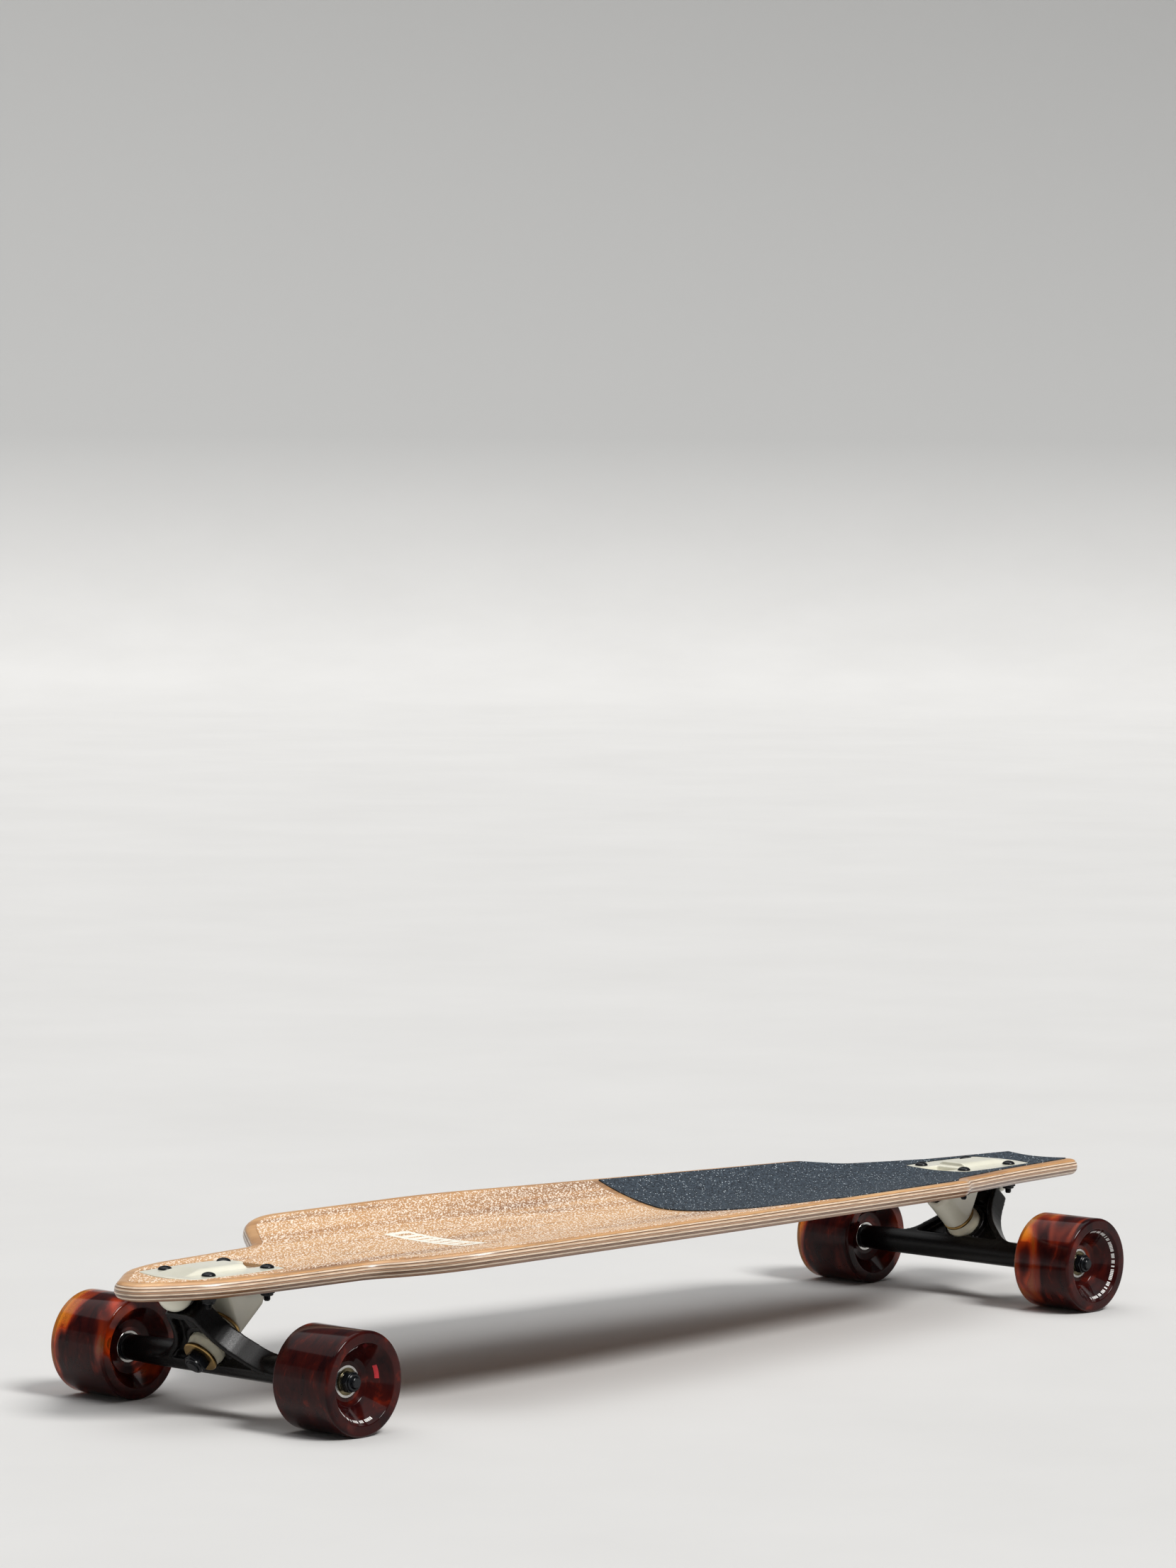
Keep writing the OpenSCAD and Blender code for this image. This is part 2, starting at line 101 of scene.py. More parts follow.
def axle_x(end):
    """Where an axle crosses the board's centre line."""
    low, high = corners_mm(f"{end}_axle")
    return (low.x + high.x) / 2


def at_truck(end):
    """A truck's own frame: +X points away from the middle of the board."""
    turn = Matrix.Rotation(math.pi if end == "front" else 0, 4, "Z")
    return Matrix.Translation((axle_x(end), 0, 0)) @ turn


def down_kingpin(end):
    """Z runs down the kingpin from the steering axis."""
    pivot = Vector(JOINTS[f"{end}_steer"]["pos_m"]) / MM
    turn = Matrix.Rotation(math.pi if end == "front" else 0, 4, "Z")
    tilt = Matrix.Rotation(KINGPIN_TILT + math.pi / 2, 4, "Y")
    return Matrix.Translation(pivot) @ turn @ tilt


def out_along_axle(end, side):
    """Z runs along the axle from the board's centre line."""
    turn = Matrix.Rotation(math.radians(-90 if side == "right" else 90), 4, "X")
    return Matrix.Translation((axle_x(end), 0, AXLE_HEIGHT)) @ turn


# ---- Making pieces --------------------------------------------------------


def make_piece(name, shape, look, body, stands_for=(), place=Matrix(), sharp=35):
    """A mesh piece from (points in mm, faces) that rides on a body."""
    points, faces = shape
    mesh = bpy.data.meshes.new(name)
    mesh.from_pydata([(place @ Vector(p)) * MM for p in points], [], faces)
    piece = bpy.data.objects.new(name, mesh)
    bpy.context.scene.collection.objects.link(piece)
    return dress(piece, look, body, stands_for, sharp)


def dress(piece, look, body, stands_for=(), sharp=35):
    """Gives a piece its material and its body, and hides the CAD nodes it stands for.
    A piece with no body stays unattached."""
    weld(piece)
    mesh = piece.data
    mesh.materials.clear()
    mesh.materials.append(look)
    mesh.shade_smooth()
    mesh.set_sharp_from_angle(angle=math.radians(sharp))
    if body:
        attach(piece, body)
    if stands_for:
        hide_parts(*stands_for)
    return piece


def apply_modifiers(piece):
    """Writes what a piece's modifiers make into its mesh."""
    bpy.context.view_layer.update()
    depsgraph = bpy.context.evaluated_depsgraph_get()
    mesh = bpy.data.meshes.new_from_object(piece.evaluated_get(depsgraph))
    piece.modifiers.clear()
    piece.data = mesh


def weld(piece, distance=2e-6):
    """Joins points that coincide and turns every face outwards."""
    work = bmesh.new()
    work.from_mesh(piece.data)
    bmesh.ops.remove_doubles(work, verts=work.verts, dist=distance)
    bmesh.ops.recalc_face_normals(work, faces=work.faces)
    work.to_mesh(piece.data)
    work.free()


def raw(name, shape, place=Matrix()):
    """A bare object to cut with or to join."""
    points, faces = shape
    mesh = bpy.data.meshes.new(name)
    mesh.from_pydata([(place @ Vector(p)) * MM for p in points], [], faces)
    made = bpy.data.objects.new(name, mesh)
    bpy.context.scene.collection.objects.link(made)
    weld(made)
    return made


def cut(piece, tool, operation="DIFFERENCE"):
    """Cuts a piece with a tool, which goes."""
    modifier = piece.modifiers.new("cut", "BOOLEAN")
    modifier.operation = operation
    modifier.solver = "EXACT"
    modifier.object = tool
    apply_modifiers(piece)
    bpy.data.objects.remove(tool)


def joined(*shapes):
    """Several (points, faces) shapes as one."""
    points, faces = [], []
    for some_points, some_faces in shapes:
        first = len(points)
        points += [Vector(p) for p in some_points]
        faces += [[first + i for i in face] for face in some_faces]
    return points, faces


def moved(shape, place):
    """A (points, faces) shape put in a place."""
    return [place @ Vector(p) for p in shape[0]], shape[1]


def prism(outline, bottom, top):
    """A straight solid over a closed outline."""
    n = len(outline)
    points = [(x, y, bottom) for x, y in outline] + [(x, y, top) for x, y in outline]
    sides = [[i, (i + 1) % n, n + (i + 1) % n, n + i] for i in range(n)]
    return points, [list(range(n))[::-1], list(range(n, 2 * n))] + sides


def turned(profile, segments=96, ring=True):
    """A turned shape about Z from (radius, height) points, or from a function of the angle that gives
    them. A ring's profile closes on itself. Any other stays open, so a solid's begins and ends on the
    axis."""
    points, faces = [], []
    for i in range(segments):
        angle = 2 * math.pi * i / segments
        row = profile(angle) if callable(profile) else profile
        points += [(r * math.cos(angle), r * math.sin(angle), z) for r, z in row]
        count = len(row)
    for i in range(segments):
        here, there = i * count, (i + 1) % segments * count
        for j in range(count if ring else count - 1):
            k = (j + 1) % count
            faces.append([here + j, there + j, there + k, here + k])
    return points, faces


def bar(sections, loop=False):
    """A solid through cross-sections with the same number of points, closed by caps or into a loop."""
    count = len(sections[0])
    points = [p for section in sections for p in section]
    last = len(sections) if loop else len(sections) - 1
    faces = []
    for k in range(last):
        here, there = k * count, (k + 1) % len(sections) * count
        for i in range(count):
            j = (i + 1) % count
            faces.append([here + i, here + j, there + j, there + i])
    if not loop:
        faces += [list(range(count))[::-1], list(range(last * count, (last + 1) * count))]
    return points, faces


# ---- Outlines ---------------------------------------------------------------


def round_corner(before, corner, after, steps):
    """Points of the arc that rounds one corner (x, y, radius) of an outline."""
    here = Vector(corner[:2])
    back = (Vector(before[:2]) - here).normalized()
    ahead = (Vector(after[:2]) - here).normalized()
    half = back.angle(ahead) / 2
    reach = corner[2] / math.tan(half)
    centre = here + (back + ahead).normalized() * corner[2] / math.sin(half)
    start = here + back * reach - centre
    sweep = start.angle_signed(here + ahead * reach - centre)
    points = []
    for i in range(steps + 1):
        points.append(centre + Matrix.Rotation(-sweep * i / steps, 2) @ start)
    return points


def rounded(corners, steps=8):
    """A closed outline whose corners (x, y, radius) are rounded."""
    points = []
    n = len(corners)
    for i, corner in enumerate(corners):
        if corner[2] == 0:
            points.append(Vector(corner[:2]))
        else:
            points += round_corner(corners[i - 1], corner, corners[(i + 1) % n], steps)
    return points


def both_halves(half):
    """A symmetric list of corners from the half at positive y."""
    return list(half) + [(x, -y, r) for x, y, r in reversed(half)]


def spaced(points, step):
    """A closed outline with its long stretches split."""
    split = []
    for a, b in zip(points, points[1:] + points[:1]):
        pieces = max(1, math.ceil((b - a).length / step))
        split += [a.lerp(b, i / pieces) for i in range(pieces)]
    return split


def inset(points, distance):
    """A closed clockwise outline moved inwards."""
    n = len(points)
    made = []
    for i, p in enumerate(points):
        along = (points[(i + 1) % n] - points[i - 1]).normalized()
        made.append(p + Vector((along.y, -along.x)) * distance)
    return made


def thinned(points, least):
    """A closed outline without points that crowd each other."""
    kept = [points[0]]
    for p in points[1:]:
        if (p - kept[-1]).length > least:
            kept.append(p)
    if (kept[0] - kept[-1]).length < least:
        kept.pop()
    return kept


def inside(p, outline):
    """True if a point lies in an outline."""
    within = False
    for a, b in zip(outline, outline[1:] + outline[:1]):
        if (a.y > p.y) != (b.y > p.y) and p.x < (b.x - a.x) * (p.y - a.y) / (b.y - a.y) + a.x:
            within = not within
    return within


# ---- Materials ----------------------------------------------------------------


class Look:
    """A procedural material: nodes are added by kind, with their inputs by name."""

    def __init__(self, name, **inputs):
        self.material = bpy.data.materials.new(name)
        self.material.use_nodes = True
        self.tree = self.material.node_tree
        self.tree.nodes.clear()
        self.surface = self.add("BsdfPrincipled", **inputs)
        self.output = self.add("OutputMaterial", Surface=self.surface.outputs[0])
        self.place = self.add("TexCoord").outputs["Object"]

    def add(self, kind, settings=None, **inputs):
        node = self.tree.nodes.new("ShaderNode" + kind)
        for key, value in (settings or {}).items():
            setattr(node, key, value)
        for key, value in inputs.items():
            self.feed(node.inputs[key.replace("_", " ")], value)
        return node

    def feed(self, socket, value):
        if isinstance(value, bpy.types.NodeSocket):
            self.tree.links.new(value, socket)
        else:
            socket.default_value = value

    def set(self, **inputs):
        for key, value in inputs.items():
            self.feed(self.surface.inputs[key.replace("_", " ")], value)

    def maths(self, operation, *values):
        node = self.add("Math", {"operation": operation})
        for socket, value in zip(node.inputs, values):
            self.feed(socket, value)
        return node.outputs[0]

    def turned_place(self, angle, stretch):
        """Coordinates that stretch a pattern along a level direction, at an angle in degrees to the
        board's length."""
        return self.add("Mapping", {"vector_type": "TEXTURE"}, Vector=self.place,
                        Rotation=(0, 0, math.radians(angle)), Scale=(stretch, 1, 1)).outputs[0]

    def noise(self, scale, detail=3.0, roughness=0.5, distortion=0.0, stretch=(1, 1, 1), place=None):
        mapping = self.add("Mapping", Vector=place or self.place, Scale=stretch)
        return self.add(
            "TexNoise",
            Vector=mapping.outputs[0],
            Scale=scale,
            Detail=detail,
            Roughness=roughness,
            Distortion=distortion,
        ).outputs["Fac"]

    def ramp(self, value, *stops, constant=False):
        node = self.add("ValToRGB", Fac=value)
        ramp = node.color_ramp
        ramp.interpolation = "CONSTANT" if constant else "LINEAR"
        while len(ramp.elements) < len(stops):
            ramp.elements.new(0.5)
        for element, (position, colour) in zip(ramp.elements, stops):
            element.position = position
            element.color = (*colour, 1) if isinstance(colour, tuple) else (colour,) * 3 + (1,)
        return node.outputs[0]

    def mix(self, share, a, b, blend="MIX"):
        node = self.add("Mix", {"data_type": "RGBA", "blend_type": blend})
        self.feed(node.inputs[0], share)
        for socket, value in ((node.inputs[6], a), (node.inputs[7], b)):
            self.feed(socket, (*value, 1) if isinstance(value, tuple) else value)
        return node.outputs[2]

    def bump(self, height, strength, distance):
        node = self.add("Bump", Height=height, Strength=strength, Distance=distance)
        self.set(Normal=node.outputs[0])


def depth_in_deck(look):
    """Depth under the deck's top surface, as a share of its thickness."""
    flat = look.add("VectorMath", {"operation": "MULTIPLY_ADD"})
    look.feed(flat.inputs[0], look.place)
    flat.inputs[1].default_value = (0, 1, 1)
    flat.inputs[2].default_value = (0, 0, -CONCAVE_CENTRE * MM)
    length = look.add("VectorMath", {"operation": "LENGTH"})
    look.feed(length.inputs[0], flat.outputs[0])
    radius = look.maths("SUBTRACT", length.outputs["Value"], CONCAVE_RADIUS * MM)
    return look.maths("DIVIDE", radius, THICKNESS * MM)


def bamboo(look):
    """Honey-coloured bamboo: long soft streaks, fine fibres and a few dark smudges."""
    streaks = look.noise(22, 4, 0.6, 0.6, (0.16, 1.6, 1.6))
    fibres = look.noise(420, 3, 0.6, 0.0, (0.03, 1, 1))
    smudges = look.noise(16, 3, 0.55, 0.4, (0.35, 2.2, 1))
    brown, honey, pale = (0.36, 0.165, 0.062), (0.58, 0.32, 0.14), (0.72, 0.44, 0.215)
    wood = look.ramp(streaks, (0.3, brown), (0.5, honey), (0.72, pale))
    wood = look.mix(look.ramp(fibres, (0.35, 0.0), (0.75, 0.35)), wood, (0.36, 0.17, 0.065))
    return look.mix(look.ramp(smudges, (0.52, 0.0), (0.7, 0.75)), wood, (0.22, 0.105, 0.055))


def make_face_veneer(name, stain):
    """Lacquered bamboo under a stain."""
    look = Look(name, Roughness=0.34, Coat_Weight=0.35, Coat_Roughness=0.25)
    look.set(Base_Color=look.mix(1.0, bamboo(look), stain, "MULTIPLY"))
    look.bump(look.noise(420, 3, 0.6, 0.0, (0.03, 1, 1)), 0.12, 0.0003)
    return look.material


def make_core_plies():
    """The core's plies and glue lines, from the top down, as (colour, thickness in mm)."""
    look = Look("core_plies", Roughness=0.4, Coat_Weight=0.5, Coat_Roughness=0.2)
    light, mid, brown = (0.76, 0.59, 0.44), (0.39, 0.22, 0.125), (0.18, 0.08, 0.035)
    honey, dark = (0.58, 0.30, 0.12), (0.035, 0.017, 0.010)
    plies_mm = (
        (honey, 0.6), (dark, 0.2), (light, 1.0), (dark, 0.4), (mid, 0.6), (light, 1.1), (dark, 0.35),
        (mid, 1.05), (dark, 0.25), (light, 1.1), (dark, 0.45), (brown, 0.9), (dark, 0.3), (light, 0.95),
        (dark, 0.25), (mid, 0.3),
    )
    bands = []
    at = VENEER
    for colour, width in plies_mm:
        bands.append((at / THICKNESS, colour))
        at += width
    sway = 0.02  # how far the plies wander, as a share of the thickness
    wobble = look.maths("MULTIPLY", look.noise(60, 2, 0.5, 0, (0.4, 0.4, 0)), sway)
    depth = look.maths("ADD", depth_in_deck(look), look.maths("SUBTRACT", wobble, sway / 2))
    colour = look.ramp(depth, *bands, constant=True)
    grain = look.noise(900, 2, 0.6, 0, (0.12, 0.12, 1.2))
    colour = look.mix(look.ramp(grain, (0.4, 0.0), (0.7, 0.5)), colour, (0.26, 0.16, 0.09))
    look.set(Base_Color=colour)
    look.bump(grain, 0.15, 0.0003)
    return look.material


def make_clear_grit():
    """Clear mineral grit that lets the bamboo show, with pale flecks painted on as glints."""
    look = Look("clear_grit", Roughness=0.5, Specular_IOR_Level=0.6)
    grains = look.noise(760, 2, 0.6, 0.4, place=look.turned_place(42, 3))
    # Painted glints: pale flecks in the colour stand in for light catching the grit
    spots = look.ramp(grains, (0.5, 0.0), (0.58, 0.85))
    look.set(Base_Color=look.mix(spots, bamboo(look), (0.95, 0.82, 0.68)))
    look.bump(grains, 0.6, 0.0008)
    return look.material


def make_grip_tape():
    """Slate mineral grit with bright dots painted in as glints."""
    look = Look("grip_tape", Roughness=0.72, Specular_IOR_Level=0.35)
    grains = look.noise(620, 2, 0.7, place=look.turned_place(42, 3))
    # Painted glints: a few cells are turned pale to stand in for light catching the grit
    cells = look.add("TexVoronoi", Vector=look.turned_place(42, 2), Scale=880)
    pick = look.add("SeparateColor", Color=cells.outputs["Color"]).outputs[0]
    bright = look.maths("GREATER_THAN", pick, 0.9)
    near = look.maths("LESS_THAN", cells.outputs["Distance"], 0.36)
    painted_glint = look.maths("MULTIPLY", bright, near)
    tone = look.ramp(grains, (0.36, (0.006, 0.011, 0.018)), (0.64, (0.044, 0.063, 0.084)))
    look.set(Base_Color=look.mix(painted_glint, tone, (0.5, 0.56, 0.6)))
    look.bump(grains, 0.8, 0.0009)
    return look.material


def make_cream_paint():
    """Cream enamel with soft clouds and a little grime."""
    look = Look("cream_paint", Roughness=0.28, Coat_Weight=0.5, Coat_Roughness=0.12)
    cloud = look.noise(45, 3)
    grime = look.noise(160, 4, 0.7)
    paint = look.ramp(cloud, (0.3, (0.68, 0.66, 0.54)), (0.7, (0.75, 0.735, 0.62)))
    look.set(Base_Color=look.mix(look.ramp(grime, (0.66, 0.0), (0.85, 0.3)), paint, (0.4, 0.36, 0.27)))
    look.bump(look.noise(1400, 2), 0.06, 0.0003)
    return look.material


def make_dark_metal(name, tone, roughness, grain, coat):
    """Black finish on metal: faint texture, small changes of tone and of gloss."""
    look = Look(name, Coat_Weight=coat, Coat_Roughness=0.2, Specular_IOR_Level=0.2)
    cloud = look.noise(70, 4, 0.6)
    fine = look.noise(grain, 2, 0.6)
    dark = tuple(c * 0.7 for c in tone)
    look.set(Base_Color=look.ramp(cloud, (0.35, dark), (0.7, tone)))
    look.set(Roughness=look.ramp(fine, (0.3, roughness - 0.05), (0.7, roughness + 0.08)))
    look.bump(fine, 0.1, 0.0003)
    return look.material


def make_metal(name, tone, roughness):
    """Bright metal with fine turning marks and small stains."""
    look = Look(name, Metallic=1.0)
    marks = look.noise(2600, 2, 0.6)
    cloud = look.noise(120, 3, 0.6)
    worn = tuple(c * 0.72 for c in tone)
    look.set(Base_Color=look.ramp(cloud, (0.35, worn), (0.62, tone)))
    look.set(Roughness=look.ramp(marks, (0.3, roughness - 0.06), (0.7, roughness + 0.1)))
    look.bump(marks, 0.08, 0.0002)
    return look.material


def make_rubber(name, tone, roughness, scatter=0.0):
    """Cast rubber or urethane: soft clouding and a fine skin."""
    glow = (0.6, 0.5, 0.35)
    look = Look(name, Subsurface_Weight=scatter, Subsurface_Radius=glow, Subsurface_Scale=0.004)
    cloud = look.noise(90, 3, 0.6)
    darker = tuple(c * 0.8 for c in tone)
    look.set(Base_Color=look.ramp(cloud, (0.35, darker), (0.65, tone)))
    look.set(Roughness=look.ramp(look.noise(700, 2), (0.3, roughness - 0.05), (0.7, roughness + 0.06)))
    look.bump(look.noise(1200, 2), 0.08, 0.0003)
    return look.material


def places_in_wheel(look):
    """Shares of a wheel's width, from its inner side and towards the board's right, and of its radius;
    then 1 on a rear wheel and 1 on a right wheel."""
    parts = look.add("SeparateXYZ", Vector=look.place).outputs
    front, rear = axle_x("front") * MM, axle_x("rear") * MM
    is_rear = look.maths("GREATER_THAN", parts["X"], 0.0)
    is_right = look.maths("GREATER_THAN", parts["Y"], 0.0)
    ahead = look.maths("SUBTRACT", parts["X"], look.maths("MULTIPLY_ADD", is_rear, rear - front, front))
    up = look.maths("SUBTRACT", parts["Z"], AXLE_HEIGHT * MM)
    squares = look.maths("ADD", look.maths("MULTIPLY", ahead, ahead), look.maths("MULTIPLY", up, up))
    out = look.maths("DIVIDE", look.maths("POWER", squares, 0.5), WHEEL_RADIUS * MM)
    along = look.maths("SUBTRACT", look.maths("ABSOLUTE", parts["Y"]), WHEEL_INNER * MM)
    along = look.maths("DIVIDE", along, (WHEEL_OUTER - WHEEL_INNER) * MM)
    rightwards = look.maths("ABSOLUTE", look.maths("SUBTRACT", look.maths("SUBTRACT", 1.0, is_right), along))
    return along, rightwards, out, is_rear, is_right


# How far the swirls' pattern is shifted, in metres
FRONT_SWIRLS = (0.05, 0.0, 0.0)
REAR_SWIRLS = (0.09, 0.02, 0.05)


def make_wheel_urethane():
    """Tortoiseshell urethane: a dark, almost opaque red-brown with clear amber swirls, its own pattern. Extra
    amber is painted in at each tread's end towards the board's right, in the inner recess and round the hub:
    painted glow."""
    look = Look("wheel_urethane", Roughness=0.1, IOR=1.5, Specular_IOR_Level=0.15)
    along, rightwards, out, is_rear, is_right = places_in_wheel(look)
    # Painted glow: amber at each tread's end towards the board's right, away from the camera, stronger on the
    # right and rear wheels, as if light shone through from behind
    end = look.ramp(rightwards, (0.5, 0.0), (0.8, 0.09), (1.0, 0.28))
    share = look.maths("MULTIPLY_ADD", is_right, 0.6, look.maths("MULTIPLY_ADD", is_rear, 0.3, 0.45))
    share = look.maths("MULTIPLY", share, look.ramp(out, (0.7, 0.35), (0.92, 1.0)))
    end = look.maths("MULTIPLY", end, share)
    # Painted glow: amber in the inner recess and in a ring round the hub, as if light shone through the thin
    # urethane there
    recess = look.ramp(along, (0.0, 0.1), (0.3, 0.04), (0.5, 0.0))
    hub = look.ramp(out, (0.37, 0.08), (0.43, 0.0))
    shift = look.add("Mix", {"data_type": "VECTOR"})
    look.feed(shift.inputs[0], is_rear)
    shift.inputs[4].default_value = FRONT_SWIRLS
    shift.inputs[5].default_value = REAR_SWIRLS
    place = look.add("VectorMath", {"operation": "ADD"})
    look.feed(place.inputs[0], look.place)
    look.feed(place.inputs[1], shift.outputs[1])
    swirl = look.noise(15, 2, 0.5, 0.8, (1, 1.9, 1), place.outputs[0])
    swirl = look.maths("ADD", swirl, look.maths("MAXIMUM", look.maths("MAXIMUM", end, recess), hub))
    clouds = look.noise(52, 3, 0.6, 0.5, (1, 2.2, 1))
    oxblood, red_brown, rust = (0.012, 0.002, 0.0025), (0.036, 0.004, 0.003), (0.14, 0.012, 0.004)
    body = look.ramp(clouds, (0.35, oxblood), (0.6, red_brown), (0.78, rust))
    ember, orange, amber = (0.16, 0.01, 0.003), (0.58, 0.06, 0.008), (0.96, 0.36, 0.035)
    glow = look.ramp(swirl, (0.64, ember), (0.72, orange), (0.82, amber))
    clear = look.ramp(swirl, (0.61, 0.0), (0.74, 1.0))
    look.set(Base_Color=look.mix(clear, body, glow), Transmission_Weight=look.maths("MULTIPLY", clear, 0.72))
    look.bump(look.noise(500, 2, 0.5, 0, (1, 3, 1)), 0.03, 0.0002)
    absorb = look.add("VolumeAbsorption", Color=(1.0, 0.34, 0.06, 1), Density=26.0)
    look.feed(look.output.inputs["Volume"], absorb.outputs[0])
    return look.material


def make_print(name, tone):
    """Printed paint, worn in small spots."""
    look = Look(name, Roughness=0.45)
    worn = look.noise(900, 3, 0.7)
    faded = tuple(c * 0.7 for c in tone)
    look.set(Base_Color=look.ramp(worn, (0.3, faded), (0.45, tone)))
    return look.material


LOOKS = {
    "core_plies": make_core_plies(),
    "face_veneer": make_face_veneer("face_veneer", (1.0, 1.0, 1.0)),
    "clear_grit": make_clear_grit(),
    "grip_tape": make_grip_tape(),
    "cream_paint": make_cream_paint(),
    "black_cast": make_dark_metal("black_cast", (0.0035, 0.003, 0.003), 0.3, 1500, 0.0),
    "black_steel": make_dark_metal("black_steel", (0.005, 0.006, 0.008), 0.26, 2400, 0.12),
    "brass": make_metal("brass", (0.42, 0.27, 0.1), 0.3),
    "steel": make_metal("steel", (0.56, 0.55, 0.53), 0.2),
    "bearing_seal": make_rubber("bearing_seal", (0.018, 0.018, 0.02), 0.42),
    "black_urethane": make_rubber("black_urethane", (0.025, 0.022, 0.02), 0.5),
    "bushing_urethane": make_rubber("bushing_urethane", (0.74, 0.7, 0.55), 0.36, 0.35),
    "wheel_urethane": make_wheel_urethane(),
}
WHITE_PRINT = make_print("white_print", (0.75, 0.74, 0.72))
CREAM_PRINT = make_print("cream_print", (0.9, 0.88, 0.78))
RED_PRINT = make_print("red_print", (0.6, 0.02, 0.03))
BACK_VENEER = make_face_veneer("back_veneer", (0.42, 0.34, 0.3))
SHIELD_METAL = make_metal("shield_metal", (0.2, 0.17, 0.1), 0.26)

# ---- Deck -----------------------------------------------------------------------

# One edge of the deck from the nose tip to the tail, as (x, y, radius)
DECK_EDGE = [
    (-HALF_LENGTH, 10, 17),
    (-HALF_LENGTH + 38.5, 41, 60),
    (-417, 50, 140),
    (-312.5, 58, 22),
    (-266, HALF_WIDTH, 66),
    (-85, HALF_WIDTH, 800),
    (288, 0.725 * HALF_WIDTH, 22),
    (315, 64.5, 30),
    (393, 46.5, 200),
    (HALF_LENGTH + 1.6, 36, 10),
]
TAIL_HOLLOW = [(HALF_LENGTH - 6, 0, 60)]
PAST_TAIL, PAST_SIDE = 600, 130  # well outside the deck
# The dark tape's front edge, as (x, y, radius)
TAPE_FRONT = [(93, PAST_SIDE, 1), (30, -24, 50), (77, -70, 60), (183, -100, 1)]


def deck_outline():
    """The deck's outline, clockwise from the nose tip."""
    corners = DECK_EDGE + TAIL_HOLLOW + [(x, -y, r) for x, y, r in reversed(DECK_EDGE)]
    return spaced(rounded(corners, 20), 4.0)


def deck_surface(p, depth):
    """A point at a depth under the concave top surface."""
    radius = CONCAVE_RADIUS + depth
    return Vector((p.x, p.y, CONCAVE_CENTRE - math.sqrt(radius * radius - p.y * p.y)))


def filled(outline, depth, upwards):
    """A triangulated face over an outline, bent to the concave."""
    spacing = 9.0
    edge_low = [min(p[i] for p in outline) for i in (0, 1)]
    edge_high = [max(p[i] for p in outline) for i in (0, 1)]
    points = list(outline)
    smaller = inset(outline, 2.5)
    y = edge_low[1] + spacing / 2
    while y < edge_high[1]:
        x = edge_low[0] + spacing / 2
        while x < edge_high[0]:
            p = Vector((x, y))
            if inside(p, smaller):
                points.append(p)
            x += spacing
        y += spacing
    n = len(outline)
    loop = [(i, (i + 1) % n) for i in range(n)]
    flat, _, faces, *_ = geometry.delaunay_2d_cdt(points, loop, [list(range(n))[::-1]], 1, 1e-5)
    made = []
    for face in faces:
        a, b, c = (flat[i] for i in face[:3])
        turn = (b - a).cross(c - a)
        made.append(list(face) if (turn > 0) == upwards else list(face)[::-1])
    return [deck_surface(p, depth) for p in flat], made


def slab(outline, rings):
    """A closed sheet that follows the concave; rings are (inset, depth) from top to bottom."""
    loops = [inset(outline, distance) for distance, _ in rings]
    n = len(outline)
    walls = []
    for loop, (_, depth) in zip(loops, rings):
        walls += [deck_surface(p, depth) for p in loop]
    sides = []
    for k in range(len(rings) - 1):
        for i in range(n):
            j = (i + 1) % n
            sides.append([k * n + i, k * n + j, (k + 1) * n + j, (k + 1) * n + i])
    top = filled(loops[0], rings[0][1], True)
    bottom = filled(loops[-1], rings[-1][1], False)
    return joined((walls, sides), top, bottom)


def edge_rings(start, stop):
    """Rings round the deck's rounded edge between two depths."""
    depths = {start, stop}
    for i in range(11):
        bend = EDGE_ROUND * (1 - math.cos(math.radians(9 * i)))
        depths |= {d for d in (bend, THICKNESS - bend) if start < d < stop}
    rings = []
    for depth in sorted(depths):
        rise = EDGE_ROUND - min(depth, THICKNESS - depth, EDGE_ROUND)
        rings.append((EDGE_ROUND - math.sqrt(max(0.0, EDGE_ROUND**2 - rise**2)), depth))
    return rings


SLOT_EDGE = [(PATTERN_X + 50.2, 16, 13), (PATTERN_X - 37.5, 16, 6)]


def flange_outline(grow=0.0):
    """The baseplate's flange in the truck's frame, grown by a margin."""
    half = [
        (PATTERN_X + 45 + grow, 28 + grow, 4 + grow),
        (PATTERN_X, 31.5 + grow, 200),
        (PATTERN_X - 36 - grow, 29.5 + grow, 4 + grow),
    ]
    corners = [(PATTERN_X + 52 + grow, 0, 45)] + half + [(PATTERN_X - 38.5 - grow, 0, 60)]
    return rounded(corners + [(x, -y, r) for x, y, r in reversed(half)], 8)


def tape_area(grow=0.0):
    """The tail's part of the deck, where the dark tape lies."""
    first, last = TAPE_FRONT[0][:2], TAPE_FRONT[-1][:2]
    front = [Vector((PAST_TAIL, PAST_SIDE)), Vector(first)]
    front += round_corner(*TAPE_FRONT[0:3], 16) + round_corner(*TAPE_FRONT[1:4], 16)
    front += [Vector(last), Vector((last[0], -PAST_SIDE)), Vector((PAST_TAIL, -PAST_SIDE))]
    return [p + Vector((-grow, -0.35 * grow)) for p in front] if grow else front


def cut_trucks(piece, outline, bottom, top):
    """Cuts an outline in the truck's frame out of a piece at both trucks, between two heights."""
    for end in ENDS:
        cut(piece, raw("tool", prism(outline, bottom, top), at_truck(end)))


def make_deck():
    """The two veneers and the core, with the trucks' slots and the recesses for their flanges."""
    outline = deck_outline()
    slot_outline = rounded(both_halves(SLOT_EDGE), 6)
    layers = (
        ("deck_face", "deck_top_veneer", "face_veneer", LOOKS["face_veneer"], 0, VENEER),
        ("deck_plies", "deck_core", "core_plies", LOOKS["core_plies"], VENEER, THICKNESS - VENEER),
        ("deck_back", "deck_bottom_veneer", "face_veneer", BACK_VENEER, THICKNESS - VENEER, THICKNESS),
    )
    for name, node, slot, look, start, stop in layers:
        piece = raw(name, slab(outline, edge_rings(start, stop)))
        cut_trucks(piece, slot_outline, DECK_TOP - 40, DECK_TOP + 30)
        cut_trucks(piece, flange_outline(0.4), FLANGE_TOP - FLANGE, DECK_TOP + 40)
        dress(piece, look, "deck", (node,))


